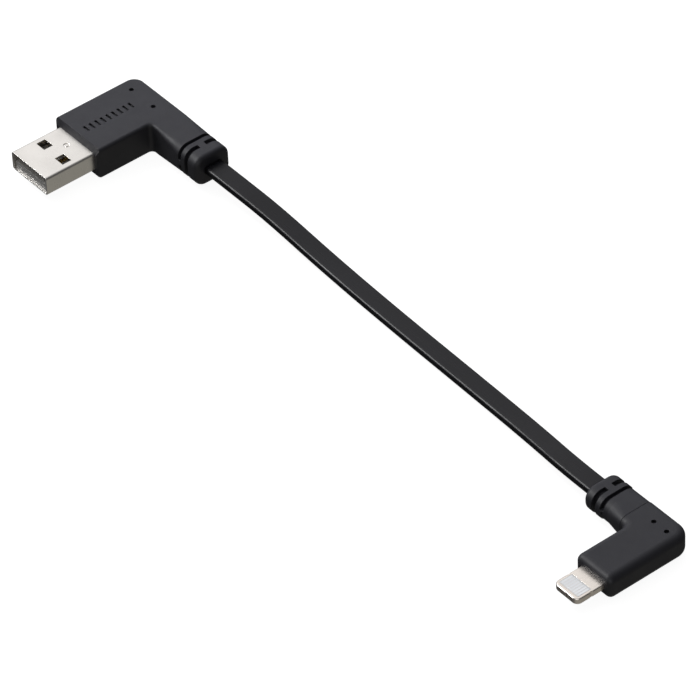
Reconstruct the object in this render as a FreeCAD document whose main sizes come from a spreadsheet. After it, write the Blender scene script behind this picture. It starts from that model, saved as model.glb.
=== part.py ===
import FreeCAD, Part
import math
import os

import Sketcher

# A short flat charging cable with a right-angle USB-A plug at one end and a right-angle eight-contact
# tab plug at the other. Both plugs point along -Y, the cord runs along +X between them, and the
# cable lies on z = 0. The origin is the bottom centre of the box around the two plugs.
# Each plug is drawn in a frame of its own, with its tip at y = 0 on its centreline, and then placed.

DIMENSIONS = [
    # name, value in mm
    ("plug_spacing", 166.2),
    ("phone_tip_back", 2.45),
    # USB shell, the standard plug
    ("shell_wide", 12.0),
    ("shell_tall", 4.5),
    ("shell_deep", 18.75),
    ("shell_sheet", 0.3),
    ("shell_corner", 0.6),
    ("shell_axis_z", 3.8),
    ("shell_show", 12.25),
    ("window_wide", 2.7),
    ("window_deep", 2.25),
    ("window_side", 3.2),
    ("window_back", 6.46),
    ("mark_back", 9.75),
    ("mark_outer", 0.72),
    ("mark_inner", 0.38),
    ("mark_deep", 0.14),
    ("seam_gap", 0.08),
    # USB tongue and contacts
    ("tongue_wide", 10.8),
    ("tongue_tall", 1.85),
    ("tongue_back", 0.45),
    ("tongue_block_y", 12.0),
    ("tongue_block_end", 17.6),
    ("contact_wide", 1.0),
    ("contact_thick", 0.3),
    ("contact_proud", 0.08),
    ("contact_inner_side", 1.0),
    ("contact_outer_side", 3.5),
    ("contact_outer_tip", 1.7),
    ("contact_inner_tip", 2.7),
    ("contact_tail", 20.6),
    # USB overmould
    ("usb_half_wide", 7.5),
    ("usb_deep", 33.6),
    ("usb_tall", 7.6),
    ("usb_front_corner", 0.8),
    ("usb_rear_corner", 2.6),
    ("usb_inner_corner", 0.9),
    ("usb_edge", 0.75),
    ("usb_bevel_deep", 0.65),
    ("usb_bevel_tall", 1.5),
    ("usb_arm_front", 26.0),
    ("usb_arm_stub", 9.5),
    ("usb_arm_blend", 16.8),
    ("usb_arm_end", 23.5),
    ("usb_arm_low", 0.05),
    ("usb_arm_round", 2.5),
    ("usb_oval_front", 25.4),
    ("usb_oval_rear", 34.2),
    ("usb_end_round", 1.0),
    ("usb_pin_left", 4.1),
    ("usb_pin_right", 3.4),
    ("usb_pin_back", 29.85),
    ("pin_round", 0.52),
    ("pin_deep", 0.7),
    # row of short bars pressed into the top of the USB overmould
    ("bar_wide", 1.9),
    ("bar_long", 0.55),
    ("bar_deep", 0.45),
    ("bar_start", 14.75),
    ("bar_pitch", 1.45),
    # grooves of both strain reliefs
    ("groove_wide", 0.9),
    ("slot_wide", 1.15),
    ("groove_deep", 0.9),
    ("bridge_wide", 1.6),
    ("bridge_tall", 1.2),
    ("usb_groove_one", 17.8),
    ("usb_groove_two", 20.0),
    # USB inner parts
    ("mould_half_wide", 6.2),
    ("mould_start", 18.75),
    ("mould_end", 32.2),
    ("mould_low", 1.6),
    ("mould_tall", 4.4),
    ("mould_arm_front", 27.1),
    ("mould_arm_end", 12.0),
    # cord
    ("cord_wide", 4.6),
    ("cord_thick", 2.1),
    ("cord_corner", 0.7),
    ("core_round", 0.43),
    ("core_pitch", 1.0),
    ("lead_bend", 2.4),
    ("usb_cord_y", 29.8),
    # phone tab
    ("tab_half_wide", 3.35),
    ("tab_thick", 1.5),
    ("tab_axis_z", 2.9),
    ("tab_show", 6.8),
    ("tab_corner", 1.25),
    ("tab_end", 8.9),
    ("tab_edge", 0.3),
    ("tab_notch_back", 3.7),
    ("tab_notch_round", 0.5),
    ("field_half_wide", 2.72),
    ("field_front", 0.85),
    ("field_end", 4.15),
    ("pad_wide", 0.42),
    ("pad_pitch", 0.66),
    ("pad_front", 1.1),
    ("pad_end", 3.9),
    # phone circuit board and its parts
    ("board_thick", 0.6),
    ("board_neck", 2.55),
    ("board_half_wide", 3.3),
    ("board_shoulder", 9.2),
    ("board_end", 17.4),
    ("chip_tall", 0.75),
    ("can_half_wide", 3.9),
    ("can_sheet", 0.2),
    ("can_rise", 1.5),
    ("can_start", 8.9),
    ("can_end", 16.2),
    # phone overmould and strain relief
    ("phone_half_wide", 5.0),
    ("phone_deep", 27.65),
    ("phone_tall", 5.8),
    ("phone_front_corner", 1.2),
    ("phone_rear_corner", 3.4),
    ("phone_inner_corner", 0.9),
    ("phone_edge", 1.7),
    ("phone_arm_front", 19.3),
    ("phone_arm_stub", 6.4),
    ("phone_arm_blend", 10.6),
    ("phone_oval_front", 19.75),
    ("phone_oval_rear", 28.0),
    ("phone_arm_round", 2.6),
    ("phone_arm_end", 17.4),
    ("phone_step", 0.06),
    ("phone_seam_wide", 0.14),
    ("phone_seam_deep", 0.2),
    ("phone_collar_grow", 0.22),
    ("phone_end_round", 1.1),
    ("phone_groove_one", 12.3),
    ("phone_groove_two", 14.5),
    ("phone_pin_side_one", 1.65),
    ("phone_pin_side_two", 2.0),
    ("phone_pin_back", 23.7),
    ("phone_cord_y", 23.9),
    ("phone_mould_low", 1.2),
    ("phone_mould_tall", 3.4),
    ("phone_mould_end", 26.2),
    ("phone_mould_arm", 7.2),
    ("phone_mould_front", 21.3),
    ("phone_lead_bend", 2.2),
    ("lead_land_pitch", 1.6),
    ("chip_x", 0.4),
    ("chip_y", 11.4),
    ("chip_wide", 3.0),
    ("chip_deep", 2.6),
    ("power_x", -0.8),
    ("power_y", 12.6),
    ("power_wide", 1.6),
    ("power_deep", 1.6),
    ("capacitor_pitch", 1.5),
    ("capacitor_y", 14.2),
    ("capacitor_wide", 0.5),
    ("capacitor_deep", 1.0),
    ("capacitor_tall", 0.5),
]

# The cord's route from the USB plug to the phone plug, in the part's frame, one point for each turn.
CORD_ROUTE = [
    (-58.35, 12.7, 3.8),
    (-51.0, 12.7, 3.8),
    (-39.0, 13.3, 2.8),
    (-21.0, 13.1, 1.2),
    (1.5, 12.3, 1.05),
    (28.0, 11.7, 1.05),
    (45.5, 10.9, 1.5),
    (59.0, 9.25, 2.9),
    (66.95, 9.25, 2.9),
]

DOC = FreeCAD.newDocument("ChargingCable")
SHEET = DOC.addObject("Spreadsheet::Sheet", "Dims")
for row, (alias, amount) in enumerate(DIMENSIONS, 1):
    SHEET.set("A%d" % row, alias)
    SHEET.set("B%d" % row, str(amount))
    SHEET.setAlias("B%d" % row, alias)
DOC.recompute()

# Where each plug's own frame stands: expressions for x and y.
HERE = ("0", "0")
MIDDLE = "(Dims.usb_half_wide - Dims.phone_half_wide) / 2"
USB = (MIDDLE + " - Dims.plug_spacing / 2", "-Dims.usb_oval_rear / 2")
PHONE = (MIDDLE + " + Dims.plug_spacing / 2", "Dims.phone_tip_back - Dims.usb_oval_rear / 2")

CORES = ["red", "white", "green", "black"]
BAR_COUNT = 9
AXIS_X = FreeCAD.Vector(1, 0, 0)
ABOUT_X = FreeCAD.Rotation(AXIS_X, 90)
FACING_X = FreeCAD.Rotation(0.5, 0.5, 0.5, 0.5)

NODES = []


def number(expression):
    """The value that an expression in sheet names has now."""
    return float(SHEET.evalExpression(str(expression)))


def place(item, x, y, z="0"):
    """Bind an object's position to expressions."""
    for axis, expression in zip("xyz", (x, y, z)):
        item.setExpression("Placement.Base." + axis, str(expression))


def keep(item, label, frame=HERE):
    """Make an object a sub-part: give it its name and stand it in its plug's frame."""
    item.Label = label
    if frame is not HERE:
        place(item, *frame)
    NODES.append(item)
    return item


def box(name, low, high, frame=HERE):
    """A block between two corners, each given as three expressions."""
    item = DOC.addObject("Part::Box", name)
    for side, start, stop in zip(("Length", "Width", "Height"), low, high):
        item.setExpression(side, "(%s) - (%s)" % (stop, start))
    place(item, "%s + (%s)" % (frame[0], low[0]), "%s + (%s)" % (frame[1], low[1]), low[2])
    return item


def cylinder(name, x, y, z, round_size, tall):
    """An upright cylinder from its lower centre."""
    item = DOC.addObject("Part::Cylinder", name)
    item.setExpression("Radius", round_size)
    item.setExpression("Height", tall)
    place(item, x, y, z)
    return item


def join(name, items):
    """One solid or group from several."""
    item = DOC.addObject("Part::MultiFuse", name)
    item.Shapes = items
    return item


def cut(name, base, tools):
    """A solid with others taken out of it."""
    item = DOC.addObject("Part::Cut", name)
    item.Base = base
    item.Tool = tools[0] if len(tools) == 1 else join(name + "_tools", tools)
    return item


def plane_of(body, role):
    """One of a body's own origin planes."""
    return next(item for item in body.Origin.OriginFeatures if item.Role == role)


def body_sketch(body, name, role, offset="0"):
    """An empty sketch on a plane of the body's origin, moved along the plane's normal."""
    sketch = body.newObject("Sketcher::SketchObject", name)
    sketch.AttachmentSupport = [(plane_of(body, role), "")]
    sketch.MapMode = "FlatFace"
    sketch.setExpression("AttachmentOffset.Base.z", offset)
    return sketch


def fix_point(sketch, line, end, across, along):
    """Hold one end of a line at a place given by two expressions."""
    for kind, expression in (("DistanceX", across), ("DistanceY", along)):
        index = sketch.addConstraint(Sketcher.Constraint(kind, -1, 1, line, end, number(expression)))
        sketch.setExpression("Constraints[%d]" % index, str(expression))


def outline(sketch, corners):
    """A closed polygon through corners given as pairs of expressions."""
    points = [FreeCAD.Vector(number(across), number(along), 0) for across, along in corners]
    first = sketch.GeometryCount
    count = len(points)
    for index in range(count):
        sketch.addGeometry(Part.LineSegment(points[index], points[(index + 1) % count]), False)
    for index in range(count):
        after = first + (index + 1) % count
        sketch.addConstraint(Sketcher.Constraint("Coincident", first + index, 2, after, 1))
    for index, (across, along) in enumerate(corners):
        fix_point(sketch, first + index, 1, across, along)


def rounded(sketch, left, right, low, high, corner):
    """A closed rectangle with four equal corner arcs; every argument is an expression."""
    x0, x1, y0, y1, arc = (number(item) for item in (left, right, low, high, corner))
    first = sketch.GeometryCount
    lines = [
        ((x0 + arc, y0), (x1 - arc, y0)),
        ((x1, y0 + arc), (x1, y1 - arc)),
        ((x1 - arc, y1), (x0 + arc, y1)),
        ((x0, y1 - arc), (x0, y0 + arc)),
    ]
    centres = [(x1 - arc, y0 + arc), (x1 - arc, y1 - arc), (x0 + arc, y1 - arc), (x0 + arc, y0 + arc)]
    for start, stop in lines:
        sketch.addGeometry(Part.LineSegment(FreeCAD.Vector(*start, 0), FreeCAD.Vector(*stop, 0)), False)
    for index, centre in enumerate(centres):
        circle = Part.Circle(FreeCAD.Vector(*centre, 0), FreeCAD.Vector(0, 0, 1), arc)
        start = math.radians(-90 + 90 * index)
        sketch.addGeometry(Part.ArcOfCircle(circle, start, start + math.pi / 2), False)
    for index in range(4):
        curve = first + 4 + index
        sketch.addConstraint(Sketcher.Constraint("Tangent", first + index, 2, curve, 1))
        sketch.addConstraint(Sketcher.Constraint("Tangent", curve, 2, first + (index + 1) % 4, 1))
        kind = "Vertical" if index % 2 else "Horizontal"
        sketch.addConstraint(Sketcher.Constraint(kind, first + index))
    for index in range(1, 4):
        sketch.addConstraint(Sketcher.Constraint("Equal", first + 4, first + 4 + index))
    bounds = [("Radius", (first + 4,), corner), ("DistanceY", (-1, 1, first, 1), low),
              ("DistanceX", (-1, 1, first + 1, 1), right), ("DistanceY", (-1, 1, first + 2, 1), high),
              ("DistanceX", (-1, 1, first + 3, 1), left)]
    for kind, where, expression in bounds:
        index = sketch.addConstraint(Sketcher.Constraint(kind, *where, number(expression)))
        sketch.setExpression("Constraints[%d]" % index, str(expression))


def edge_names(feature, chosen):
    """The names of the edges that a test picks."""
    DOC.recompute()
    return ["Edge%d" % (index + 1) for index, edge in enumerate(feature.Shape.Edges) if chosen(edge)]


def soften(body, name, feature, chosen, size):
    """Round the edges that a test picks."""
    fillet = body.newObject("PartDesign::Fillet", name)
    fillet.Base = (feature, edge_names(feature, chosen))
    fillet.setExpression("Radius", size)
    return fillet


def pad(body, name, sketch, length, backward=False):
    """Raise a sketch along its normal, or against it."""
    feature = body.newObject("PartDesign::Pad", name)
    feature.Profile = sketch
    feature.setExpression("Length", length)
    feature.Reversed = backward
    return feature


def upright_at(x, y):
    """Picks the upright edge at a place, given as numbers."""
    def chosen(edge):
        ends = [vertex.Point for vertex in edge.Vertexes]
        same = len(ends) == 2 and (ends[0] - ends[1]).cross(FreeCAD.Vector(0, 0, 1)).Length < 1e-6
        return same and math.hypot(ends[0].x - x, ends[0].y - y) < 1e-6
    return chosen


def level_edges(heights, skip_x=None):
    """Picks the edges that lie wholly at one of the heights, but not those along x = skip_x."""
    def chosen(edge):
        box_of = edge.BoundBox
        flat = any(abs(box_of.ZMin - z) < 1e-6 and abs(box_of.ZMax - z) < 1e-6 for z in heights)
        along = skip_x is not None and max(abs(box_of.XMin - skip_x), abs(box_of.XMax - skip_x)) < 1e-6
        return flat and not along
    return chosen


def tangent_wire(points, bend_of):
    """Straight runs joined by tangent arcs; bend_of gives each arc's radius."""
    edges = []
    bends = []
    start = points[0]
    for before, here, after in zip(points, points[1:], points[2:]):
        inward = (here - before).normalize()
        onward = (after - here).normalize()
        half_turn = inward.getAngle(onward) / 2
        shorter = min((here - before).Length, (after - here).Length)
        bend = bend_of(shorter, half_turn)
        reach = bend * math.tan(half_turn)
        arc_start = here - inward * reach
        arc_stop = here + onward * reach
        centre_way = (onward - inward).normalize()
        middle = here + centre_way * (bend / math.cos(half_turn) - bend)
        edges.append(Part.LineSegment(start, arc_start).toShape())
        edges.append(Part.Arc(arc_start, middle, arc_stop).toShape())
        bends.append(bend)
        start = arc_stop
    edges.append(Part.LineSegment(start, points[-1]).toShape())
    return Part.Wire(edges), bends


def path_object(name, points, bend_of):
    """A route as an object of the document."""
    wire, bends = tangent_wire([FreeCAD.Vector(*point) for point in points], bend_of)
    path = DOC.addObject("Part::Feature", name)
    path.Shape = wire
    return path, bends


def sweep(name, section, path):
    """A solid of one section along a route."""
    item = DOC.addObject("Part::Sweep", name)
    item.Sections = [section]
    item.Spine = (path, ["Edge%d" % (index + 1) for index in range(len(path.Shape.Edges))])
    item.Solid = True
    item.Frenet = False
    return item


def round_section(name, centre, rotation):
    """A circle of the core's size across the start of a route."""
    circle = DOC.addObject("Part::Circle", name)
    circle.setExpression("Radius", "Dims.core_round")
    circle.Placement = FreeCAD.Placement(FreeCAD.Vector(*centre), rotation)
    return circle


def jacket_section(name, x, y, z):
    """The flat cord's outline, standing across +X at a place."""
    sketch = DOC.addObject("Sketcher::SketchObject", name)
    rounded(sketch, "-Dims.cord_wide / 2", "Dims.cord_wide / 2", "-Dims.cord_thick / 2",
            "Dims.cord_thick / 2", "Dims.cord_corner")
    sketch.Placement = FreeCAD.Placement(FreeCAD.Vector(x, y, z), FACING_X)
    return sketch


def core_offset(index):
    """How far a core lies from the cord's middle, towards +Y."""
    return (index - 1.5) * number("Dims.core_pitch")


def make_shell():
    """The USB plug's folded sheet shell: a tube with two windows above and two below."""
    body = DOC.addObject("PartDesign::Body", "shell_body")
    half, top, low = "Dims.shell_wide / 2", "Dims.shell_tall / 2", "-Dims.shell_tall / 2"
    profile = body_sketch(body, "shell_profile", "XZ_Plane")
    rounded(profile, "-" + half, half, low, top, "Dims.shell_corner")
    sheet = "Dims.shell_sheet"
    rounded(profile, "-%s + %s" % (half, sheet), "%s - %s" % (half, sheet), "%s + %s" % (low, sheet),
            "%s - %s" % (top, sheet), "Dims.shell_corner - " + sheet)
    pad(body, "shell_tube", profile, "Dims.shell_deep", backward=True)
    windows = body_sketch(body, "shell_windows", "XY_Plane")
    for side in ("-", ""):
        middle = side + "Dims.window_side"
        x0, x1 = middle + " - Dims.window_wide / 2", middle + " + Dims.window_wide / 2"
        y0, y1 = "Dims.window_back - Dims.window_deep / 2", "Dims.window_back + Dims.window_deep / 2"
        outline(windows, [(x0, y0), (x1, y0), (x1, y1), (x0, y1)])
    opening = body.newObject("PartDesign::Pocket", "shell_window_cut")
    opening.Profile = windows
    opening.Type = 1
    opening.Midplane = True
    seam = body_sketch(body, "shell_seam", "XY_Plane")
    gap = "Dims.seam_gap / 2"
    outline(seam, [("-" + gap, "-1"), (gap, "-1"), (gap, "Dims.shell_deep + 1"),
                   ("-" + gap, "Dims.shell_deep + 1")])
    slit = body.newObject("PartDesign::Pocket", "shell_seam_cut")
    slit.Profile = seam
    slit.setExpression("Length", "Dims.shell_tall")
    slit.Reversed = False
    body.Tip = slit
    ring = cut("shell_mark_ring", cylinder("mark_disc", "0", "Dims.mark_back", top + " - Dims.mark_deep",
                                           "Dims.mark_outer", "1"),
               [cylinder("mark_core", "0", "Dims.mark_back", top + " - Dims.mark_deep - 0.1",
                         "Dims.mark_inner", "2")])
    shell = cut("shell_marked", body, [ring])
    keep(shell, "usb_shell")
    place(shell, USB[0], USB[1], "Dims.shell_axis_z")
    return shell


def contact_places():
    """For each USB contact: its middle, and where its front end lies."""
    outer, inner = "Dims.contact_outer_side", "Dims.contact_inner_side"
    return [("-" + outer, "Dims.contact_outer_tip"), ("-" + inner, "Dims.contact_inner_tip"),
            (inner, "Dims.contact_inner_tip"), (outer, "Dims.contact_outer_tip")]


TONGUE_LOW = "Dims.shell_axis_z - Dims.shell_tall / 2 + Dims.shell_sheet"
TONGUE_TOP = TONGUE_LOW + " + Dims.tongue_tall"
CONTACT_LOW = TONGUE_TOP + " + Dims.contact_proud - Dims.contact_thick"
CONTACT_TOP = TONGUE_TOP + " + Dims.contact_proud"


def contact_box(name, middle, tip, frame=HERE):
    """One flat USB contact, from its front end to its tail."""
    half = "Dims.contact_wide / 2"
    return box(name, (middle + " - " + half, tip, CONTACT_LOW),
               (middle + " + " + half, "Dims.contact_tail", CONTACT_TOP), frame)


def make_tongue_and_contacts():
    """The plastic tongue with its rear block, and the four contacts in its grooves."""
    half = "Dims.tongue_wide / 2"
    roof = "Dims.shell_axis_z + Dims.shell_tall / 2 - Dims.shell_sheet"
    tongue = box("tongue_front", ("-" + half, "Dims.tongue_back", TONGUE_LOW),
                 (half, "Dims.tongue_block_end", TONGUE_TOP))
    block = box("tongue_block", ("-" + half, "Dims.tongue_block_y", TONGUE_LOW),
                (half, "Dims.tongue_block_end", roof))
    solid = join("tongue_solid", [tongue, block])
    grooves = []
    for index, (middle, tip) in enumerate(contact_places(), 1):
        grooves.append(contact_box("tongue_groove_%d" % index, middle, tip))
        keep(contact_box("contact_%d" % index, middle, tip, USB), "usb_contact_%d" % index)
    keep(cut("tongue_cut", solid, grooves), "usb_tongue", USB)


def arm_ring(name, centre, wide, low, high, front, rear, bridges, turn):
    """A strain-relief groove: a slab around the arm, less the arm's core and two bridges."""
    half = "Dims.%s / 2" % wide
    deep = "Dims.groove_deep"
    slab = box(name + "_slab", (centre + " - " + half, front + " - 1", low + " - 1"),
               (centre + " + " + half, rear + " + 1", high + " + 1"))
    body = DOC.addObject("PartDesign::Body", name + "_core")
    core = body_sketch(body, name + "_core_outline", "YZ_Plane", centre + " - " + half + " - 0.5")
    rounded(core, "%s + %s" % (front, deep), "%s - %s" % (rear, deep), "%s + %s" % (low, deep),
            "%s - %s" % (high, deep), "Dims.%s - %s" % (turn, deep))
    pad(body, name + "_core_pad", core, "Dims.%s + 1" % wide)
    middle_y = "((%s) + (%s)) / 2" % (front, rear)
    middle_z = "((%s) + (%s)) / 2" % (low, high)
    x0, x1 = centre + " - " + half + " - 0.5", centre + " + " + half + " + 0.5"
    if bridges == "sides":
        beam = box(name + "_bridge", (x0, front + " - 2", middle_z + " - Dims.bridge_tall / 2"),
                   (x1, rear + " + 2", middle_z + " + Dims.bridge_tall / 2"))
    else:
        beam = box(name + "_bridge", (x0, middle_y + " - Dims.bridge_wide / 2", low + " - 2"),
                   (x1, middle_y + " + Dims.bridge_wide / 2", high + " + 2"))
    return cut(name, slab, [body, beam])


def make_usb_overmould(inner):
    """The USB plug's L-shaped grip with its arm, strain relief and the space for what it holds."""
    body = DOC.addObject("PartDesign::Body", "usb_grip")
    half = "Dims.usb_half_wide"
    plan = body_sketch(body, "usb_plan", "XY_Plane")
    outline(plan, [("-" + half, "Dims.shell_show"), (half, "Dims.shell_show"),
                   (half, "Dims.usb_arm_front"), ("Dims.usb_arm_stub", "Dims.usb_arm_front"),
                   ("Dims.usb_arm_stub", "Dims.usb_deep"), ("-" + half, "Dims.usb_deep")])
    last = pad(body, "usb_block", plan, "Dims.usb_tall")
    wide, front, rear = number(half), number("Dims.shell_show"), number("Dims.usb_deep")
    corners = [("usb_front_left", -wide, front, "Dims.usb_front_corner"),
               ("usb_front_right", wide, front, "Dims.usb_front_corner"),
               ("usb_rear", -wide, rear, "Dims.usb_rear_corner"),
               ("usb_inside", wide, number("Dims.usb_arm_front"), "Dims.usb_inner_corner")]
    for name, x, y, size in corners:
        last = soften(body, name, last, upright_at(x, y), size)
    stub = number("Dims.usb_arm_stub")
    rims = level_edges((0, number("Dims.usb_tall")), stub)
    last = soften(body, "usb_edges", last, rims, "Dims.usb_edge")
    sections = []
    low, high = "Dims.usb_arm_low", "Dims.usb_tall - Dims.usb_arm_low"
    oval = ("Dims.usb_oval_front", "Dims.usb_oval_rear")
    for name, where, bounds in (
            ("usb_arm_start", "Dims.usb_arm_stub",
             ("Dims.usb_arm_front", "Dims.usb_deep", "0", "Dims.usb_tall", "Dims.usb_edge")),
            ("usb_arm_oval", "Dims.usb_arm_blend", (*oval, low, high, "Dims.usb_arm_round"))):
        sketch = body_sketch(body, name, "YZ_Plane", where)
        rounded(sketch, *bounds)
        sections.append(sketch)
    blend = body.newObject("PartDesign::AdditiveLoft", "usb_arm")
    blend.Profile = sections[0]
    blend.Sections = [sections[1]]
    sleeve = body_sketch(body, "usb_sleeve_outline", "YZ_Plane", "Dims.usb_arm_blend")
    rounded(sleeve, *oval, low, high, "Dims.usb_arm_round")
    last = pad(body, "usb_sleeve", sleeve, "Dims.usb_arm_end - Dims.usb_arm_blend")
    end = number("Dims.usb_arm_end")
    last = soften(body, "usb_end", last, lambda edge: abs(edge.BoundBox.XMin - end) < 1e-6,
                  "Dims.usb_end_round")
    body.Tip = last
    shell_space = DOC.addObject("PartDesign::Body", "usb_shell_space")
    profile = body_sketch(shell_space, "usb_shell_space_outline", "XZ_Plane", "-Dims.shell_show + 1")
    rounded(profile, "-Dims.shell_wide / 2", "Dims.shell_wide / 2",
            "Dims.shell_axis_z - Dims.shell_tall / 2", "Dims.shell_axis_z + Dims.shell_tall / 2",
            "Dims.shell_corner")
    pad(shell_space, "usb_shell_space_pad", profile, "Dims.shell_deep - Dims.shell_show + 1", backward=True)
    grooves = [arm_ring("usb_ring_one", "Dims.usb_groove_one", "groove_wide", low, high, *oval,
                        "sides", "usb_arm_round"),
               arm_ring("usb_ring_two", "Dims.usb_groove_two", "slot_wide", low, high, *oval,
                        "top", "usb_arm_round")]
    pins = [cylinder("usb_pin_%d" % index, x, "Dims.usb_pin_back", "Dims.usb_tall - Dims.pin_deep",
                     "Dims.pin_round", "2")
            for index, x in enumerate(("-Dims.usb_pin_left", "Dims.usb_pin_right"), 1)]
    bars = []
    for index in range(BAR_COUNT):
        start = "Dims.bar_start + %d * Dims.bar_pitch" % index
        bars.append(box("usb_bar_%d" % (index + 1),
                        ("-Dims.bar_wide / 2", start, "Dims.usb_tall - Dims.bar_deep"),
                        ("Dims.bar_wide / 2", start + " + Dims.bar_long", "Dims.usb_tall + 1")))
    bevel = DOC.addObject("PartDesign::Body", "usb_front_bevel")
    slope = body_sketch(bevel, "usb_bevel_outline", "YZ_Plane", "-" + half + " - 1")
    face, roof = "Dims.shell_show", "Dims.usb_tall"
    foot, crest = roof + " - Dims.usb_bevel_tall", face + " + Dims.usb_bevel_deep"
    outline(slope, [(face + " - 1", foot), (face, foot), (crest, roof), (crest, roof + " + 1"),
                    (face + " - 1", roof + " + 1")])
    pad(bevel, "usb_bevel_pad", slope, "2 * %s + 2" % half)
    tools = [shell_space, bevel] + inner + grooves + pins + bars
    keep(cut("usb_grip_cut", body, tools), "usb_overmould", USB)


def make_usb_inside():
    """The inner mould, the leads and the held end of the jacket in the USB plug."""
    low, high = "Dims.mould_low", "Dims.mould_low + Dims.mould_tall"
    block = box("usb_mould_block", ("-Dims.mould_half_wide", "Dims.mould_start", low),
                ("Dims.mould_half_wide", "Dims.mould_end", high))
    arm = box("usb_mould_arm", ("Dims.mould_half_wide", "Dims.mould_arm_front", low),
              ("Dims.mould_arm_end", "Dims.mould_end", high))
    mould = join("usb_mould_solid", [block, arm])
    tails = [contact_box("usb_tail_%d" % index, middle, "Dims.mould_start - 2")
             for index, (middle, tip) in enumerate(contact_places(), 1)]
    level = number("Dims.shell_axis_z")
    jacket_start, jacket_stop = number("Dims.mould_arm_end"), number("Dims.usb_arm_end")
    middle_y = number("Dims.usb_cord_y")
    bend = number("Dims.lead_bend")
    leads = []
    for index, colour in enumerate(CORES):
        x = number(contact_places()[3 - index][0])
        y = middle_y + core_offset(index)
        start = (x, number("Dims.contact_tail"), level)
        route = [start, (x, y, level), (jacket_stop, y, level)]
        path, _ = path_object("usb_lead_path_" + colour, route, lambda shorter, half_turn: bend)
        section = round_section("usb_lead_section_" + colour, start, ABOUT_X)
        leads.append(sweep("usb_wire_" + colour, section, path))
    jacket = DOC.addObject("Part::Extrusion", "usb_jacket_solid")
    jacket.Base = jacket_section("usb_jacket_outline", jacket_start, middle_y, level)
    jacket.DirMode = "Custom"
    jacket.Dir = AXIS_X
    jacket.setExpression("LengthFwd", "Dims.usb_arm_end - Dims.mould_arm_end")
    jacket.Solid = True
    keep(cut("usb_mould_cut", mould, tails + leads), "usb_inner_mould", USB)
    keep(cut("usb_jacket_cut", jacket, leads), "usb_jacket_end", USB)
    for colour, lead in zip(CORES, leads):
        copy = DOC.addObject("Part::Compound", "usb_lead_copy_" + colour)
        copy.Links = [lead]
        keep(copy, "usb_lead_" + colour, USB)
    return [mould, jacket]


def make_tab():
    """The phone plug's metal rim, its plastic field and the sixteen contact pads."""
    body = DOC.addObject("PartDesign::Body", "tab_body")
    half, thick = "Dims.tab_half_wide", "Dims.tab_thick / 2"
    plan = body_sketch(body, "tab_plan", "XY_Plane", "-" + thick)
    outline(plan, [("-" + half, "0"), (half, "0"), (half, "Dims.tab_end"), ("-" + half, "Dims.tab_end")])
    last = pad(body, "tab_block", plan, "Dims.tab_thick")
    side = number(half)
    for name, x in (("tab_left", -side), ("tab_right", side)):
        last = soften(body, name, last, upright_at(x, 0), "Dims.tab_corner")
    deep = number("Dims.tab_end")
    heights = (-number(thick), number(thick))
    level = level_edges(heights)
    last = soften(body, "tab_edges", last, lambda edge: level(edge) and edge.BoundBox.YMin < deep - 1e-6,
                  "Dims.tab_edge")
    body.Tip = last
    field = box("tab_field", ("-Dims.field_half_wide", "Dims.field_front", "-" + thick + " - 1"),
                ("Dims.field_half_wide", "Dims.field_end", thick + " + 1"))
    neck = box("tab_neck", ("-Dims.board_neck", "Dims.field_end - 1", "-Dims.board_thick / 2"),
               ("Dims.board_neck", "Dims.tab_end + 1", "Dims.board_thick / 2"))
    notches = [cylinder("tab_notch_%d" % index, x, "Dims.tab_notch_back", "-2", "Dims.tab_notch_round", "4")
               for index, x in enumerate(("-" + half + " - 0.25", half + " + 0.25"), 1)]
    frame = cut("tab_cut", body, [field, neck] + notches)
    keep(frame, "phone_tab_frame")
    place(frame, PHONE[0], PHONE[1], "Dims.tab_axis_z")
    level = "Dims.tab_axis_z"
    plate = box("field_plate", ("-Dims.field_half_wide", "Dims.field_front", level + " - " + thick),
                ("Dims.field_half_wide", "Dims.field_end", level + " + " + thick))
    under, over = level + " - Dims.board_thick / 2", level + " + Dims.board_thick / 2"
    pockets = [box("field_board", ("-Dims.board_neck", "Dims.pad_front", under),
                   ("Dims.board_neck", "Dims.field_end", over))]
    for side_name, low, high in (("top", over, level + " + " + thick),
                                 ("bottom", level + " - " + thick, under)):
        for index in range(8):
            middle = "(%s) * Dims.pad_pitch" % (index - 3.5)
            corners = ((middle + " - Dims.pad_wide / 2", "Dims.pad_front", low),
                       (middle + " + Dims.pad_wide / 2", "Dims.pad_end", high))
            name = "%s_%d" % (side_name, index + 1)
            pockets.append(box("pocket_" + name, *corners))
            keep(box("pad_" + name, *corners, PHONE), "phone_contact_" + name)
    keep(cut("field_cut", plate, pockets), "phone_tab_insulator", PHONE)


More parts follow.
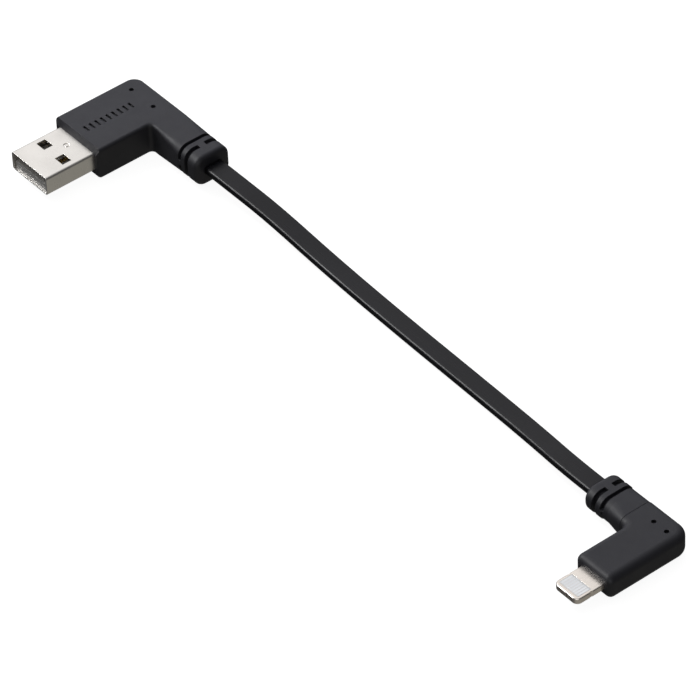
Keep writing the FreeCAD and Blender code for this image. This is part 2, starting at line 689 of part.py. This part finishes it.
def make_board():
    """The circuit board with its chips, and the two shield cans around it."""
    level = "Dims.tab_axis_z"
    low, high = level + " - Dims.board_thick / 2", level + " + Dims.board_thick / 2"
    neck = box("board_neck", ("-Dims.board_neck", "Dims.pad_front", low),
               ("Dims.board_neck", "Dims.board_shoulder", high))
    wide = box("board_wide", ("-Dims.board_half_wide", "Dims.board_shoulder", low),
               ("Dims.board_half_wide", "Dims.board_end", high))
    keep(join("board", [neck, wide]), "phone_circuit_board", PHONE)
    chips = [("phone_control_chip", "chip", high, high + " + Dims.chip_tall"),
             ("phone_power_chip", "power", low + " - Dims.chip_tall", low)]
    for label, key, z0, z1 in chips:
        sides = ["Dims.%s_%s %s Dims.%s_%s / 2" % (key, axis, sign, key, size)
                 for sign in "-+" for axis, size in (("x", "wide"), ("y", "deep"))]
        keep(box(label + "_block", (sides[0], sides[1], z0), (sides[2], sides[3], z1), PHONE), label)
    blocks = []
    for index in range(3):
        x = "(%d) * Dims.capacitor_pitch" % (index - 1)
        near = (x + " - Dims.capacitor_wide / 2", "Dims.capacitor_y", high)
        away = (x + " + Dims.capacitor_wide / 2", "Dims.capacitor_y + Dims.capacitor_deep",
                high + " + Dims.capacitor_tall")
        blocks.append(box("capacitor_%d" % index, near, away))
    group = DOC.addObject("Part::Compound", "capacitor_group")
    group.Links = blocks
    keep(group, "phone_capacitors", PHONE)
    half, rise, sheet = "Dims.can_half_wide", "Dims.can_rise", "Dims.can_sheet"
    roof, base = high + " + " + rise, low + " - " + rise
    for label, z0, z1, i0, i1 in (("phone_shield_top", high, roof, high + " - 1", roof + " - " + sheet),
                                  ("phone_shield_bottom", base, low, base + " + " + sheet, low + " + 1")):
        outer = box(label + "_outer", ("-" + half, "Dims.can_start", z0), (half, "Dims.can_end", z1))
        inner = box(label + "_inner", ("-%s + %s" % (half, sheet), "Dims.can_start - 1", i0),
                    ("%s - %s" % (half, sheet), "Dims.can_end + 1", i1))
        keep(cut(label + "_cut", outer, [inner]), label, PHONE)


def make_phone_inside():
    """The inner mould, the leads and the held end of the jacket in the phone plug."""
    low, high = "Dims.phone_mould_low", "Dims.phone_mould_low + Dims.phone_mould_tall"
    block = box("phone_mould_block", ("-Dims.can_half_wide", "Dims.can_end", low),
                ("Dims.can_half_wide", "Dims.phone_mould_end", high))
    arm = box("phone_mould_arm", ("-Dims.phone_mould_arm", "Dims.phone_mould_front", low),
              ("-Dims.can_half_wide", "Dims.phone_mould_end", high))
    mould = join("phone_mould_solid", [block, arm])
    tail = box("phone_board_tail", ("-Dims.board_half_wide", "Dims.board_shoulder",
                                    "Dims.tab_axis_z - Dims.board_thick / 2"),
               ("Dims.board_half_wide", "Dims.board_end", "Dims.tab_axis_z + Dims.board_thick / 2"))
    level = number("Dims.tab_axis_z")
    jacket_start, jacket_stop = -number("Dims.phone_arm_end"), -number("Dims.phone_mould_arm")
    middle_y = number("Dims.phone_cord_y")
    bend = number("Dims.phone_lead_bend")
    leads = []
    for index, colour in enumerate(CORES):
        x = (index - 1.5) * number("Dims.lead_land_pitch")
        y = middle_y + core_offset(index)
        start = (jacket_start, y, level)
        route = [start, (x, y, level), (x, number("Dims.board_end"), level)]
        path, _ = path_object("phone_lead_path_" + colour, route, lambda shorter, half_turn: bend)
        section = round_section("phone_lead_section_" + colour, start, FACING_X)
        leads.append(sweep("phone_wire_" + colour, section, path))
    jacket = DOC.addObject("Part::Extrusion", "phone_jacket_solid")
    jacket.Base = jacket_section("phone_jacket_outline", jacket_start, middle_y, level)
    jacket.DirMode = "Custom"
    jacket.Dir = AXIS_X
    jacket.setExpression("LengthFwd", "Dims.phone_arm_end - Dims.phone_mould_arm")
    jacket.Solid = True
    keep(cut("phone_mould_cut", mould, [tail] + leads), "phone_inner_mould", PHONE)
    keep(cut("phone_jacket_cut", jacket, leads), "phone_jacket_end", PHONE)
    for colour, lead in zip(CORES, leads):
        copy = DOC.addObject("Part::Compound", "phone_lead_copy_" + colour)
        copy.Links = [lead]
        keep(copy, "phone_lead_" + colour, PHONE)
    return [mould, jacket]


def make_phone_bodies(inner):
    """The phone plug's block with a stub at its side, and the strain relief that meets the stub."""
    half, stub = "Dims.phone_half_wide", "Dims.phone_arm_stub"
    front, rear = "Dims.tab_show", "Dims.phone_deep"
    arm_front, tall, step = "Dims.phone_arm_front", "Dims.phone_tall", "Dims.phone_step"
    block = DOC.addObject("PartDesign::Body", "phone_grip")
    plan = body_sketch(block, "phone_plan", "XY_Plane")
    outline(plan, [("-" + half, front), (half, front), (half, rear), ("-" + stub, rear),
                   ("-" + stub, arm_front), ("-" + half, arm_front)])
    last = pad(block, "phone_block", plan, tall)
    wide = number(half)
    corners = [("phone_front_left", -wide, number(front), "Dims.phone_front_corner"),
               ("phone_front_right", wide, number(front), "Dims.phone_front_corner"),
               ("phone_rear", wide, number(rear), "Dims.phone_rear_corner"),
               ("phone_inside", -wide, number(arm_front), "Dims.phone_inner_corner")]
    for name, x, y, size in corners:
        last = soften(block, name, last, upright_at(x, y), size)
    rims = level_edges((0, number(tall)), -number(stub))
    last = soften(block, "phone_edges", last, rims, "Dims.phone_edge")
    block.Tip = last
    arm = DOC.addObject("PartDesign::Body", "phone_arm")
    low, high = step, tall + " - " + step
    oval = ("Dims.phone_oval_front", "Dims.phone_oval_rear")
    start = "(" + stub + " + Dims.phone_seam_wide)"
    sections = []
    for name, where, bounds in (
            ("phone_arm_start", start, (arm_front + " + " + step, rear + " - " + step, low, high,
                                        "Dims.phone_edge")),
            ("phone_arm_oval", "Dims.phone_arm_blend", (*oval, low, high, "Dims.phone_arm_round"))):
        sketch = body_sketch(arm, name, "YZ_Plane", "-" + where)
        rounded(sketch, *bounds)
        sections.append(sketch)
    blend = arm.newObject("PartDesign::AdditiveLoft", "phone_arm_loft")
    blend.Profile = sections[0]
    blend.Sections = [sections[1]]
    deep = "Dims.phone_seam_deep"
    neck = body_sketch(arm, "phone_neck_outline", "YZ_Plane", "-" + stub)
    rounded(neck, "%s + %s" % (arm_front, deep), "%s - %s" % (rear, deep), deep,
            "%s - %s" % (tall, deep), "Dims.phone_edge - " + deep)
    pad(arm, "phone_neck", neck, "Dims.phone_seam_wide", backward=True)
    sleeve = body_sketch(arm, "phone_sleeve_outline", "YZ_Plane", "-Dims.phone_arm_blend")
    rounded(sleeve, *oval, low, high, "Dims.phone_arm_round")
    pad(arm, "phone_sleeve", sleeve, "Dims.phone_groove_one - Dims.phone_arm_blend", backward=True)
    grow = "Dims.phone_collar_grow"
    collar = body_sketch(arm, "phone_collar_outline", "YZ_Plane", "-Dims.phone_groove_one")
    rounded(collar, "%s - %s" % (oval[0], grow), "%s + %s" % (oval[1], grow), low, high,
            "Dims.phone_arm_round")
    last = pad(arm, "phone_collar", collar, "Dims.phone_arm_end - Dims.phone_groove_one", backward=True)
    end = -number("Dims.phone_arm_end")
    last = soften(arm, "phone_end", last, lambda edge: abs(edge.BoundBox.XMax - end) < 1e-6,
                  "Dims.phone_end_round")
    arm.Tip = last
    grooves = [arm_ring("phone_ring_one", "-Dims.phone_groove_one", "groove_wide", low, high, *oval,
                        "sides", "phone_arm_round"),
               arm_ring("phone_ring_two", "-Dims.phone_groove_two", "slot_wide", low, high, *oval,
                        "top", "phone_arm_round")]
    pins = [cylinder("phone_pin_%d" % index, x, "Dims.phone_pin_back", tall + " - Dims.pin_deep",
                     "Dims.pin_round", "2")
            for index, x in enumerate(("-Dims.phone_pin_side_one", "Dims.phone_pin_side_two"), 1)]
    level = "Dims.tab_axis_z"
    can = "Dims.can_half_wide"
    reach = "Dims.board_thick / 2 + Dims.can_rise"
    thick = "Dims.tab_thick / 2"
    tab_space = box("phone_tab_space", ("-Dims.tab_half_wide", front + " - 1", level + " - " + thick),
                    ("Dims.tab_half_wide", "Dims.tab_end", level + " + " + thick))
    can_space = box("phone_can_space", ("-" + can, "Dims.can_start", "%s - (%s)" % (level, reach)),
                    (can, "Dims.can_end", "%s + %s" % (level, reach)))
    keep(cut("phone_block_cut", block, [tab_space, can_space] + inner + pins), "phone_overmould", PHONE)
    keep(cut("phone_arm_cut", arm, inner + grooves), "phone_strain_relief", PHONE)


def make_cord():
    """The flat cord along its route: a jacket with four channels, and a core in each."""
    bends = []

    def wide_bend(shorter, half_turn):
        return 0.45 * shorter / math.tan(half_turn)

    def route_path(name, offset):
        points = [(x, y + offset, z) for x, y, z in CORD_ROUTE]
        return path_object(name, points, wide_bend)

    middle, bends = route_path("cord_path", 0.0)
    tube = sweep("cord_tube", jacket_section("cord_outline", *CORD_ROUTE[0]), middle)
    cores = []
    for index, colour in enumerate(CORES):
        path, _ = route_path("cord_path_" + colour, core_offset(index))
        start = FreeCAD.Vector(*CORD_ROUTE[0]) + FreeCAD.Vector(0, core_offset(index), 0)
        core = sweep("cord_wire_" + colour, round_section("cord_section_" + colour, start, FACING_X), path)
        cores.append(keep(core, "cord_core_" + colour))
    jacket = keep(cut("cord_cut", tube, cores), "cord_jacket")
    DOC.recompute()
    print("cord bend radii in mm:", [round(bend, 1) for bend in bends])
    length = middle.Shape.Length
    area = Part.Face(Part.Wire(DOC.getObject("cord_outline").Shape.Edges)).Area
    print("cord length %.2f mm, tube %.2f mm3, section times length %.2f mm3"
          % (length, tube.Shape.Volume, area * length))
    copper = sum(core.Shape.Volume for core in cores)
    print("jacket %.2f mm3, four cores %.2f mm3" % (jacket.Shape.Volume, copper))


def check_and_write():
    """Stop on any object that failed, then write each sub-part to its own file."""
    DOC.recompute()
    for item in DOC.Objects:
        bad = [state for state in item.State if state in ("Invalid", "Error")]
        if bad:
            raise RuntimeError("%s is %s" % (item.Name, ", ".join(bad)))
    for item in NODES:
        shape = item.Shape
        if shape.isNull() or not shape.isValid() or not shape.Solids:
            raise RuntimeError("%s has no valid solid" % item.Label)
    os.makedirs("parts", exist_ok=True)
    for item in NODES:
        item.Shape.exportStep("parts/%s.step" % item.Label)
    print("%d sub-parts written" % len(NODES))


make_shell()
make_tongue_and_contacts()
make_usb_overmould(make_usb_inside())
make_tab()
make_board()
make_phone_bodies(make_phone_inside())
make_cord()
check_and_write()
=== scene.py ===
import math

import bmesh
import bpy
from mathutils import Matrix, Vector


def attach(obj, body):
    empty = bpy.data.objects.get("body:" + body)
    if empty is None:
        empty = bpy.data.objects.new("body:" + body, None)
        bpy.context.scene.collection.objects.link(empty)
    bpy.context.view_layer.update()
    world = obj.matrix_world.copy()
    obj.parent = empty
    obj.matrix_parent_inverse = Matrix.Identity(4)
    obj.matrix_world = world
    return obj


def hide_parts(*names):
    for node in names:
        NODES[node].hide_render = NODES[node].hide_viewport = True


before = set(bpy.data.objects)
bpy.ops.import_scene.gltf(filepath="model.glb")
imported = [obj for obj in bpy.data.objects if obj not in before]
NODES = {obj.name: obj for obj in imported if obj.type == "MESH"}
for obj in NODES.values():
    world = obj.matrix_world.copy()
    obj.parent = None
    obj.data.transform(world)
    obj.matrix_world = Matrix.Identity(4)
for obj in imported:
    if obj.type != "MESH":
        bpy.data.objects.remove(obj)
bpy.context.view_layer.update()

MM = 0.001
COLOURS = ["red", "white", "green", "black"]

# ---------------------------------------------------------------- camera
EYE = Vector((634.70, -479.25, 702.48)) * MM
AZIMUTH, ELEVATION, ROLL = 52.861, 41.473, -2.812
FOCAL_IN_FRAME_WIDTHS = 5334.237 / 700


def make_camera():
    """The photograph's view, from the front right and above."""
    turn, lift, roll = (math.radians(angle) for angle in (AZIMUTH, ELEVATION, ROLL))
    level = math.cos(lift)
    back = Vector((math.sin(turn) * level, -math.cos(turn) * level, math.sin(lift)))
    right = Vector((math.cos(turn), math.sin(turn), 0))
    up = back.cross(right)
    level_right = math.cos(roll) * right + math.sin(roll) * up
    level_up = -math.sin(roll) * right + math.cos(roll) * up
    data = bpy.data.cameras.new("camera")
    data.sensor_width = 36
    data.lens = 36 * FOCAL_IN_FRAME_WIDTHS
    data.clip_start = 0.05
    data.clip_end = 20
    camera = bpy.data.objects.new("camera", data)
    bpy.context.scene.collection.objects.link(camera)
    turned = Matrix((level_right, level_up, back)).transposed().to_4x4()
    camera.matrix_world = Matrix.Translation(EYE) @ turned
    bpy.context.scene.camera = camera


make_camera()

# ---------------------------------------------------------------- cord
# The route's points, in millimetres, the same ones as in the part's source.
CORD_ROUTE = [
    (-58.35, 12.7, 3.8),
    (-51.0, 12.7, 3.8),
    (-39.0, 13.3, 2.8),
    (-21.0, 13.1, 1.2),
    (1.5, 12.3, 1.05),
    (28.0, 11.7, 1.05),
    (45.5, 10.9, 1.5),
    (59.0, 9.25, 2.9),
    (66.95, 9.25, 2.9),
]
CORD_WIDE = 4.6 * MM
CORD_THICK = 2.1 * MM
CORD_CORNER = 0.75 * MM
CORD_CROWN = 0.06 * MM
CORE_ROUND = 0.43 * MM
CORE_PITCH = 1.0 * MM
CORNER_STEPS = 7
FACE_STEPS = 10


def route_line():
    """Points down the middle of the cord, read from the smooth spline through its route."""
    curve = bpy.data.curves.new("cord_route", "CURVE")
    curve.dimensions = "3D"
    curve.resolution_u = 24
    spline = curve.splines.new("NURBS")
    spline.points.add(len(CORD_ROUTE) - 1)
    for point, place in zip(spline.points, CORD_ROUTE):
        point.co = (*(c * MM for c in place), 1)
    spline.order_u = 3
    spline.use_endpoint_u = True
    holder = bpy.data.objects.new("cord_route", curve)
    mesh = bpy.data.meshes.new_from_object(holder)
    line = [vertex.co.copy() for vertex in mesh.vertices]
    bpy.data.meshes.remove(mesh)
    bpy.data.objects.remove(holder)
    bpy.data.curves.remove(curve)
    return line


def frames_along(line):
    """For each point of a line: the point, the level way across it and the way out of the face."""
    frames = []
    for index, point in enumerate(line):
        ahead = line[min(index + 1, len(line) - 1)] - line[max(index - 1, 0)]
        if index in (0, len(line) - 1):
            ahead = Vector((1, 0, 0))
        across = Vector((0, 0, 1)).cross(ahead).normalized()
        frames.append((point, across, ahead.cross(across).normalized()))
    return frames


def flat_section():
    """The cord's outline as (across, out) pairs: rounded edges and slightly crowned faces."""
    half_wide, half_thick = CORD_WIDE / 2, CORD_THICK / 2
    points = []
    for side, level in ((1, 1), (-1, 1), (-1, -1), (1, -1)):
        for step in range(CORNER_STEPS + 1):
            share = step / CORNER_STEPS
            if side * level < 0:
                share = 1 - share
            angle = share * math.pi / 2
            points.append((side * (half_wide - CORD_CORNER + CORD_CORNER * math.cos(angle)),
                           level * (half_thick - CORD_CROWN - CORD_CORNER * (1 - math.sin(angle)))))
        if side > 0 and level > 0 or side < 0 and level < 0:
            for step in range(1, FACE_STEPS):
                x = side * (half_wide - CORD_CORNER) * (1 - 2 * step / FACE_STEPS)
                bulge = math.cos(x / (half_wide - CORD_CORNER) * math.pi / 2)
                points.append((x, level * (half_thick - CORD_CROWN + CORD_CROWN * bulge)))
    return points


def round_section(radius, across, count=14):
    """A circle as (across, out) pairs about a point off the middle."""
    angles = [math.tau * i / count for i in range(count)]
    return [(across + radius * math.cos(angle), radius * math.sin(angle)) for angle in angles]


def swept_mesh(name, frames, outside, holes=()):
    """A closed mesh with one outline, and holes in it, along a line."""
    bm = bmesh.new()
    rims = ([], [])
    for number, section in enumerate([outside, *holes]):
        rings = []
        for point, across, out in frames:
            rings.append([bm.verts.new(point + across * a + out * b) for a, b in section])
        count = len(section)
        for ring, after in zip(rings, rings[1:]):
            for i in range(count):
                corners = [ring[i], after[i], after[(i + 1) % count], ring[(i + 1) % count]]
                bm.faces.new(corners if number == 0 else corners[::-1]).smooth = True
        for rim, ring in zip(rims, (rings[0], rings[-1])):
            rim += [bm.edges.get((ring[i], ring[(i + 1) % count])) for i in range(count)]
    for rim in rims:
        bmesh.ops.triangle_fill(bm, edges=rim, use_beauty=True)
    bmesh.ops.recalc_face_normals(bm, faces=bm.faces)
    mesh = bpy.data.meshes.new(name)
    bm.to_mesh(mesh)
    bm.free()
    piece = bpy.data.objects.new(name, mesh)
    bpy.context.scene.collection.objects.link(piece)
    return piece


def make_cord():
    """The flat cord: its jacket, with a channel for each core, and the four cores."""
    line = route_line()
    frames = frames_along(line)
    offsets = [(index - 1.5) * CORE_PITCH for index in range(len(COLOURS))]
    channels = [round_section(CORE_ROUND, offset) for offset in offsets]
    jacket = swept_mesh("flat_cord", frames, flat_section(), channels)
    cores = []
    for colour, channel in zip(COLOURS, channels):
        core = swept_mesh("flat_cord_core_" + colour, frames, channel)
        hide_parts("cord_core_" + colour)
        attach(core, "root")
        cores.append(core)
    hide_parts("cord_jacket")
    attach(jacket, "root")
    return jacket, cores


cord_jacket, cord_cores = make_cord()


# ---------------------------------------------------------------- materials
# How fine each noise is: the larger the number, the finer.
DRIFT = 90
GLOSS_DRIFT = 260
METAL_CLOUD = 160
CORD_CLOUD = 140
CORD_GRAIN = 3800
CORD_LINES = (60, 2600, 2600)
BEVEL_SAMPLES = 6


class Surface:
    """A node-based material, built a few nodes at a time."""

    def __init__(self, name, colour, rough, metal=0.0, specular=0.5):
        self.material = bpy.data.materials.new(name)
        self.material.use_nodes = True
        self.tree = self.material.node_tree
        self.shader = self.tree.nodes["Principled BSDF"]
        self.put("Base Color", (*colour, 1))
        self.put("Roughness", rough)
        self.put("Metallic", metal)
        self.put("Specular IOR Level", specular)
        self.place = self.tree.nodes.new("ShaderNodeTexCoord").outputs["Object"]

    def put(self, socket, value):
        self.shader.inputs[socket].default_value = value

    def link(self, source, target):
        self.tree.links.new(source, target)

    def stretched(self, scale, turn=(0, 0, 0)):
        """The place on the piece in metres, stretched and turned."""
        node = self.tree.nodes.new("ShaderNodeMapping")
        node.inputs["Scale"].default_value = scale
        node.inputs["Rotation"].default_value = turn
        self.link(self.place, node.inputs["Vector"])
        return node.outputs["Vector"]

    def noise(self, scale, detail=3.0, place=None, rough=0.5):
        node = self.tree.nodes.new("ShaderNodeTexNoise")
        node.inputs["Scale"].default_value = scale
        node.inputs["Detail"].default_value = detail
        node.inputs["Roughness"].default_value = rough
        self.link(place or self.place, node.inputs["Vector"])
        return node.outputs["Fac"]

    def spread(self, source, low, high, start=0.3, stop=0.7):
        """Maps a noise to a range."""
        node = self.tree.nodes.new("ShaderNodeMapRange")
        sockets = (("From Min", start), ("From Max", stop), ("To Min", low), ("To Max", high))
        for socket, value in sockets:
            node.inputs[socket].default_value = value
        self.link(source, node.inputs["Value"])
        return node.outputs["Result"]

    def tint(self, source, dark, light, start=0.3, stop=0.7):
        """Colours from dark to light by a noise."""
        node = self.tree.nodes.new("ShaderNodeValToRGB")
        node.color_ramp.elements[0].position = start
        node.color_ramp.elements[1].position = stop
        node.color_ramp.elements[0].color = (*dark, 1)
        node.color_ramp.elements[1].color = (*light, 1)
        self.link(source, node.inputs["Fac"])
        self.link(node.outputs["Color"], self.shader.inputs["Base Color"])

    def relief(self, heights, bevel=None):
        """Bumps, each a (noise, distance in metres) pair, over edges softened by a small radius."""
        normal = None
        if bevel:
            node = self.tree.nodes.new("ShaderNodeBevel")
            node.samples = BEVEL_SAMPLES
            node.inputs["Radius"].default_value = bevel
            normal = node.outputs["Normal"]
        for source, distance in heights:
            node = self.tree.nodes.new("ShaderNodeBump")
            node.inputs["Distance"].default_value = distance
            self.link(source, node.inputs["Height"])
            if normal:
                self.link(normal, node.inputs["Normal"])
            normal = node.outputs["Normal"]
        self.link(normal, self.shader.inputs["Normal"])


def shades(colour, share):
    """A darker and a lighter version of a colour."""
    return [c * (1 - share) for c in colour], [c * (1 + share) for c in colour]


def moulded(name, colour, rough, grain, distance, share=0.08, specular=0.5, bevel=0.00012):
    """Moulded plastic: a fine spark-eroded grain, and a slow drift in shade and gloss."""
    surface = Surface(name, colour, rough, specular=specular)
    drift = surface.noise(DRIFT, 4)
    surface.tint(drift, *shades(colour, share))
    fine = surface.noise(grain, 2, rough=0.6)
    surface.link(surface.spread(surface.noise(GLOSS_DRIFT, 3), rough - 0.05, rough + 0.07),
                 surface.shader.inputs["Roughness"])
    surface.relief([(fine, distance), (drift, distance * 1.5)], bevel)
    return surface.material


def metal(name, colour, rough, along, distance=0.000004, bevel=0.00008, share=0.05):
    """Plated sheet with drawing marks along one way."""
    surface = Surface(name, colour, rough, metal=1.0)
    streaks = surface.noise(1, 4, surface.stretched(along))
    cloud = surface.noise(METAL_CLOUD, 3)
    surface.tint(cloud, *shades(colour, share))
    surface.link(surface.spread(streaks, rough - 0.07, rough + 0.08),
                 surface.shader.inputs["Roughness"])
    surface.relief([(streaks, distance)], bevel)
    return surface.material


def cord_skin():
    """The cord's jacket: smoother than the grips, with faint lines along it from its extrusion."""
    colour = (0.009, 0.009, 0.0125)
    surface = Surface("cord_skin", colour, 0.3, specular=0.23)
    lines = surface.noise(1, 3, surface.stretched(CORD_LINES))
    cloud = surface.noise(CORD_CLOUD, 4)
    surface.tint(cloud, *shades(colour, 0.1))
    surface.link(surface.spread(lines, 0.27, 0.38), surface.shader.inputs["Roughness"])
    surface.relief([(lines, 0.000012), (surface.noise(CORD_GRAIN, 2), 0.000006), (cloud, 0.00002)])
    return surface.material


MATERIALS = {
    "grip": moulded("grip_charcoal", (0.034, 0.0345, 0.043), 0.5, 5200, 0.000012, specular=0.27),
    "cord": cord_skin(),
    "sleeve": metal("sleeve_plating", (0.80, 0.777, 0.745), 0.33, (300, 9000, 300)),
    "tongue": moulded("tongue_grey", (0.55, 0.55, 0.545), 0.42, 4200, 0.000006),
    "gold": metal("contact_gold", (0.85, 0.66, 0.32), 0.25, (6000, 500, 500)),
    "pale": metal("contact_pale", (0.88, 0.90, 0.93), 0.34, (6000, 500, 500)),
    "tab": metal("tab_satin", (0.80, 0.745, 0.69), 0.3, (7000, 500, 500)),
    "field": moulded("tab_field", (0.88, 0.89, 0.90), 0.3, 4200, 0.000004, 0.04),
    "board": moulded("board_green", (0.02, 0.13, 0.06), 0.35, 2600, 0.000008, 0.2),
    "chip": moulded("chip_black", (0.02, 0.02, 0.021), 0.5, 6000, 0.000008),
    "ceramic": moulded("ceramic_tan", (0.42, 0.3, 0.18), 0.5, 6000, 0.000006),
    "can": metal("can_steel", (0.62, 0.61, 0.6), 0.35, (400, 7000, 400)),
    "filling": moulded("inner_mould", (0.72, 0.72, 0.69), 0.4, 2500, 0.00001),
    "red": moulded("core_red", (0.5, 0.02, 0.02), 0.4, 3000, 0.000005),
    "white": moulded("core_white", (0.74, 0.74, 0.74), 0.4, 3000, 0.000005),
    "green": moulded("core_green", (0.03, 0.3, 0.06), 0.4, 3000, 0.000005),
    "black": moulded("core_black", (0.02, 0.02, 0.02), 0.4, 3000, 0.000005),
}

FINISH_OF = {
    "usb_overmould": "grip", "phone_overmould": "grip", "phone_strain_relief": "grip",
    "usb_shell": "sleeve", "usb_tongue": "tongue", "usb_inner_mould": "filling",
    "phone_inner_mould": "filling", "usb_jacket_end": "cord", "phone_jacket_end": "cord",
    "phone_tab_frame": "tab", "phone_tab_insulator": "field", "phone_circuit_board": "board",
    "phone_control_chip": "chip", "phone_power_chip": "chip", "phone_capacitors": "ceramic",
    "phone_shield_top": "can", "phone_shield_bottom": "can",
}
for index in range(1, 5):
    FINISH_OF["usb_contact_%d" % index] = "gold"
for face in ("top", "bottom"):
    for index in range(1, 9):
        FINISH_OF["phone_contact_%s_%d" % (face, index)] = "pale"
for colour in COLOURS:
    FINISH_OF["usb_lead_" + colour] = colour
    FINISH_OF["phone_lead_" + colour] = colour


def dress(piece, key):
    """Give a piece its material."""
    if not piece.material_slots:
        piece.data.materials.append(MATERIALS[key])
    for slot in piece.material_slots:
        slot.material = MATERIALS[key]


for node, key in FINISH_OF.items():
    dress(NODES[node], key)
dress(cord_jacket, "cord")
for core, colour in zip(cord_cores, COLOURS):
    dress(core, colour)

# ---------------------------------------------------------------- floor, light
FLOOR_DROP = 0.00002
FLOOR_WIDE = 8
FLOOR_SHADE = 0.25
FLOOR_GLOW = 0.93
USB_PLUG = (-0.08, 0, 0)
BRIGHT_WAY = (-0.6, 0.12, 0.78)
# How bright the room is, by the cosine of the angle from that way.
ROOM_STEPS = [
    (-1.0, (0.28, 0.272, 0.245)),
    (-0.75, (0.27, 0.262, 0.235)),
    (-0.6, (0.12, 0.117, 0.11)),
    (-0.15, (0.05, 0.05, 0.05)),
    (0.3, (0.1, 0.1, 0.1)),
    (0.6, (0.4, 0.4, 0.4)),
    (0.85, (0.84, 0.83, 0.83)),
    (0.93, (0.94, 0.93, 0.93)),
    (1.0, (1.35, 1.35, 1.35)),
]


def make_floor():
    """A plain pale floor that fills the view."""
    bpy.ops.mesh.primitive_plane_add(size=FLOOR_WIDE, location=(0, 0, -FLOOR_DROP))
    floor = bpy.context.object
    floor.name = "floor"
    surface = Surface("floor_white", (FLOOR_SHADE,) * 3, 0.9, specular=0.1)
    surface.put("Emission Color", (1, 1, 1, 1))
    surface.put("Emission Strength", FLOOR_GLOW)
    floor.data.materials.append(surface.material)
    floor.visible_glossy = False
    floor.visible_diffuse = False


def softbox(name, toward, distance, size, power, target=(0, 0, 0)):
    """A soft light facing a point, at a distance from it."""
    data = bpy.data.lights.new(name, "AREA")
    data.shape = "RECTANGLE"
    data.size, data.size_y = size
    data.energy = power
    light = bpy.data.objects.new(name, data)
    bpy.context.scene.collection.objects.link(light)
    way = Vector(toward).normalized()
    light.location = Vector(target) + way * distance
    light.rotation_euler = way.to_track_quat("Z", "Y").to_euler()
    return light


def make_world():
    """A dim room around a broad bright patch, up and to the left, as a white tent makes it."""
    world = bpy.data.worlds.new("room")
    bpy.context.scene.world = world
    world.use_nodes = True
    tree = world.node_tree
    background = tree.nodes["Background"]
    place = tree.nodes.new("ShaderNodeTexCoord")
    toward = tree.nodes.new("ShaderNodeVectorMath")
    toward.operation = "DOT_PRODUCT"
    toward.inputs[1].default_value = Vector(BRIGHT_WAY).normalized()
    ramp = tree.nodes.new("ShaderNodeValToRGB")
    stops = ramp.color_ramp.elements
    while len(stops) < len(ROOM_STEPS):
        stops.new(0.5)
    for stop, (cosine, shade) in zip(stops, ROOM_STEPS):
        stop.position = (cosine + 1) / 2
        stop.color = (*shade, 1)
    scale = tree.nodes.new("ShaderNodeMapRange")
    scale.inputs["From Min"].default_value = -1
    tree.links.new(place.outputs["Generated"], toward.inputs[0])
    tree.links.new(toward.outputs["Value"], scale.inputs["Value"])
    tree.links.new(scale.outputs["Result"], ramp.inputs["Fac"])
    tree.links.new(ramp.outputs["Color"], background.inputs["Color"])


make_floor()
make_world()
# The highlights along edges, the extra light on the USB plug, and the gloss seen from behind.
key = softbox("key", (-0.6, -0.56, 0.56), distance=1.1, size=(0.42, 0.42), power=9)
key.visible_diffuse = False
near = softbox("near", (-0.75, 0.15, 0.65), distance=0.42, size=(0.3, 0.3), power=1.1,
               target=USB_PLUG)
near.visible_glossy = False
rear = softbox("rear", (0.66, -0.66, 0.34), distance=1.1, size=(0.8, 0.6), power=3)
rear.visible_diffuse = False
bpy.context.scene.view_settings.view_transform = "Standard"
